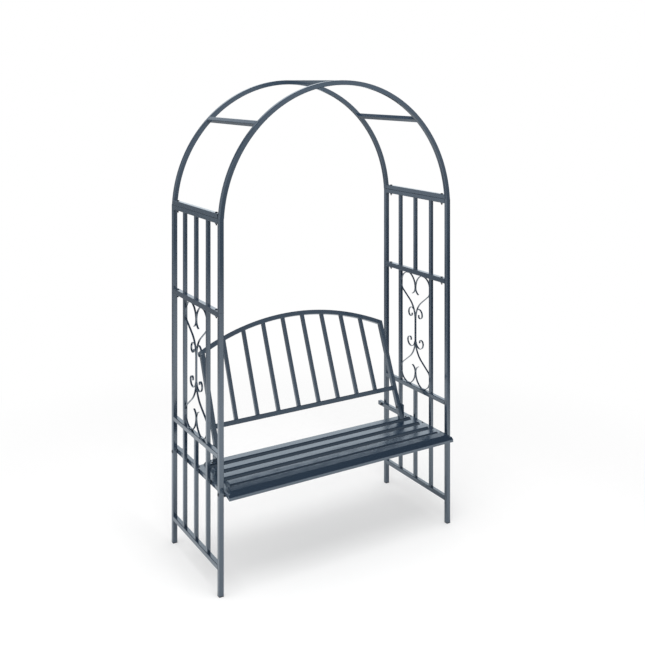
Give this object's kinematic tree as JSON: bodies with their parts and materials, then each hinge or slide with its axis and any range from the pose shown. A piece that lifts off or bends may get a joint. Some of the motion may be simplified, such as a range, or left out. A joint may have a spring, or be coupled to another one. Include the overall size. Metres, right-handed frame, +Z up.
{
  "type": "arbour seat",
  "caption": "Garden arbour seat of bolted square tube, with scrollwork side panels, a half-round arch overhead, a ribbed sheet bench seat and a leaning barred back.",
  "frame": {"origin": "on the ground, at the middle of the whole object's plan box", "axes": "+Z up, +Y from the open front towards the back of the seat, +X to the right of someone who faces the seat from the front, so the left panel is on -X"},
  "size_m": [1.1592, 0.567, 2.02],
  "materials": {
    "powder_coat": "slate blue-grey powder coat, satin to half gloss",
    "seat_coat": "the same slate powder coat on pressed sheet, half gloss",
    "fastener": "dark zinc plate on domed bolts and nuts",
    "plug_plastic": "black moulded plastic, fine matt grain"
  },
  "bodies": {
    "root": {"arch_crossbar_left": "powder_coat", "arch_crossbar_middle": "powder_coat", "arch_crossbar_right": "powder_coat", "front_hoop": "powder_coat", "rear_hoop": "powder_coat", "foot_plugs": "plug_plastic", "left_lower_post_front": "powder_coat", "left_lower_post_rear": "powder_coat", "left_upper_post_front": "powder_coat", "left_upper_post_rear": "powder_coat", "left_bottom_rail": "powder_coat", "left_middle_rail": "powder_coat", "left_panel_rail": "powder_coat", "left_tie_strip": "powder_coat", "left_top_rail": "powder_coat", "left_arch_foot_rail": "powder_coat", "left_lower_bars": "powder_coat", "left_middle_bar_front": "powder_coat", "left_middle_bar_rear": "powder_coat", "left_upper_bars": "powder_coat", "right_lower_post_front": "powder_coat", "right_lower_post_rear": "powder_coat", "right_upper_post_front": "powder_coat", "right_upper_post_rear": "powder_coat", "right_bottom_rail": "powder_coat", "right_middle_rail": "powder_coat", "right_panel_rail": "powder_coat", "right_tie_strip": "powder_coat", "right_top_rail": "powder_coat", "right_arch_foot_rail": "powder_coat", "right_lower_bars": "powder_coat", "right_middle_bar_front": "powder_coat", "right_middle_bar_rear": "powder_coat", "right_upper_bars": "powder_coat", "scroll_strips": "powder_coat", "scroll_curls": "powder_coat", "scroll_sprigs": "powder_coat", "seat_side_rail_left": "powder_coat", "seat_side_rail_right": "powder_coat", "seat_front_rail": "powder_coat", "seat_rear_rail": "powder_coat", "seat_pan": "seat_coat", "backrest_stile_left": "powder_coat", "backrest_stile_right": "powder_coat", "backrest_top_rail": "powder_coat", "backrest_bottom_rail": "powder_coat", "backrest_bars": "powder_coat", "backrest_bracket_left": "powder_coat", "backrest_bracket_right": "powder_coat", "panel_bolts": "fastener", "panel_nuts": "fastener", "seat_bolts": "fastener", "seat_nuts": "fastener", "backrest_bolts": "fastener", "backrest_nuts": "fastener"}
  },
  "joints": []
}
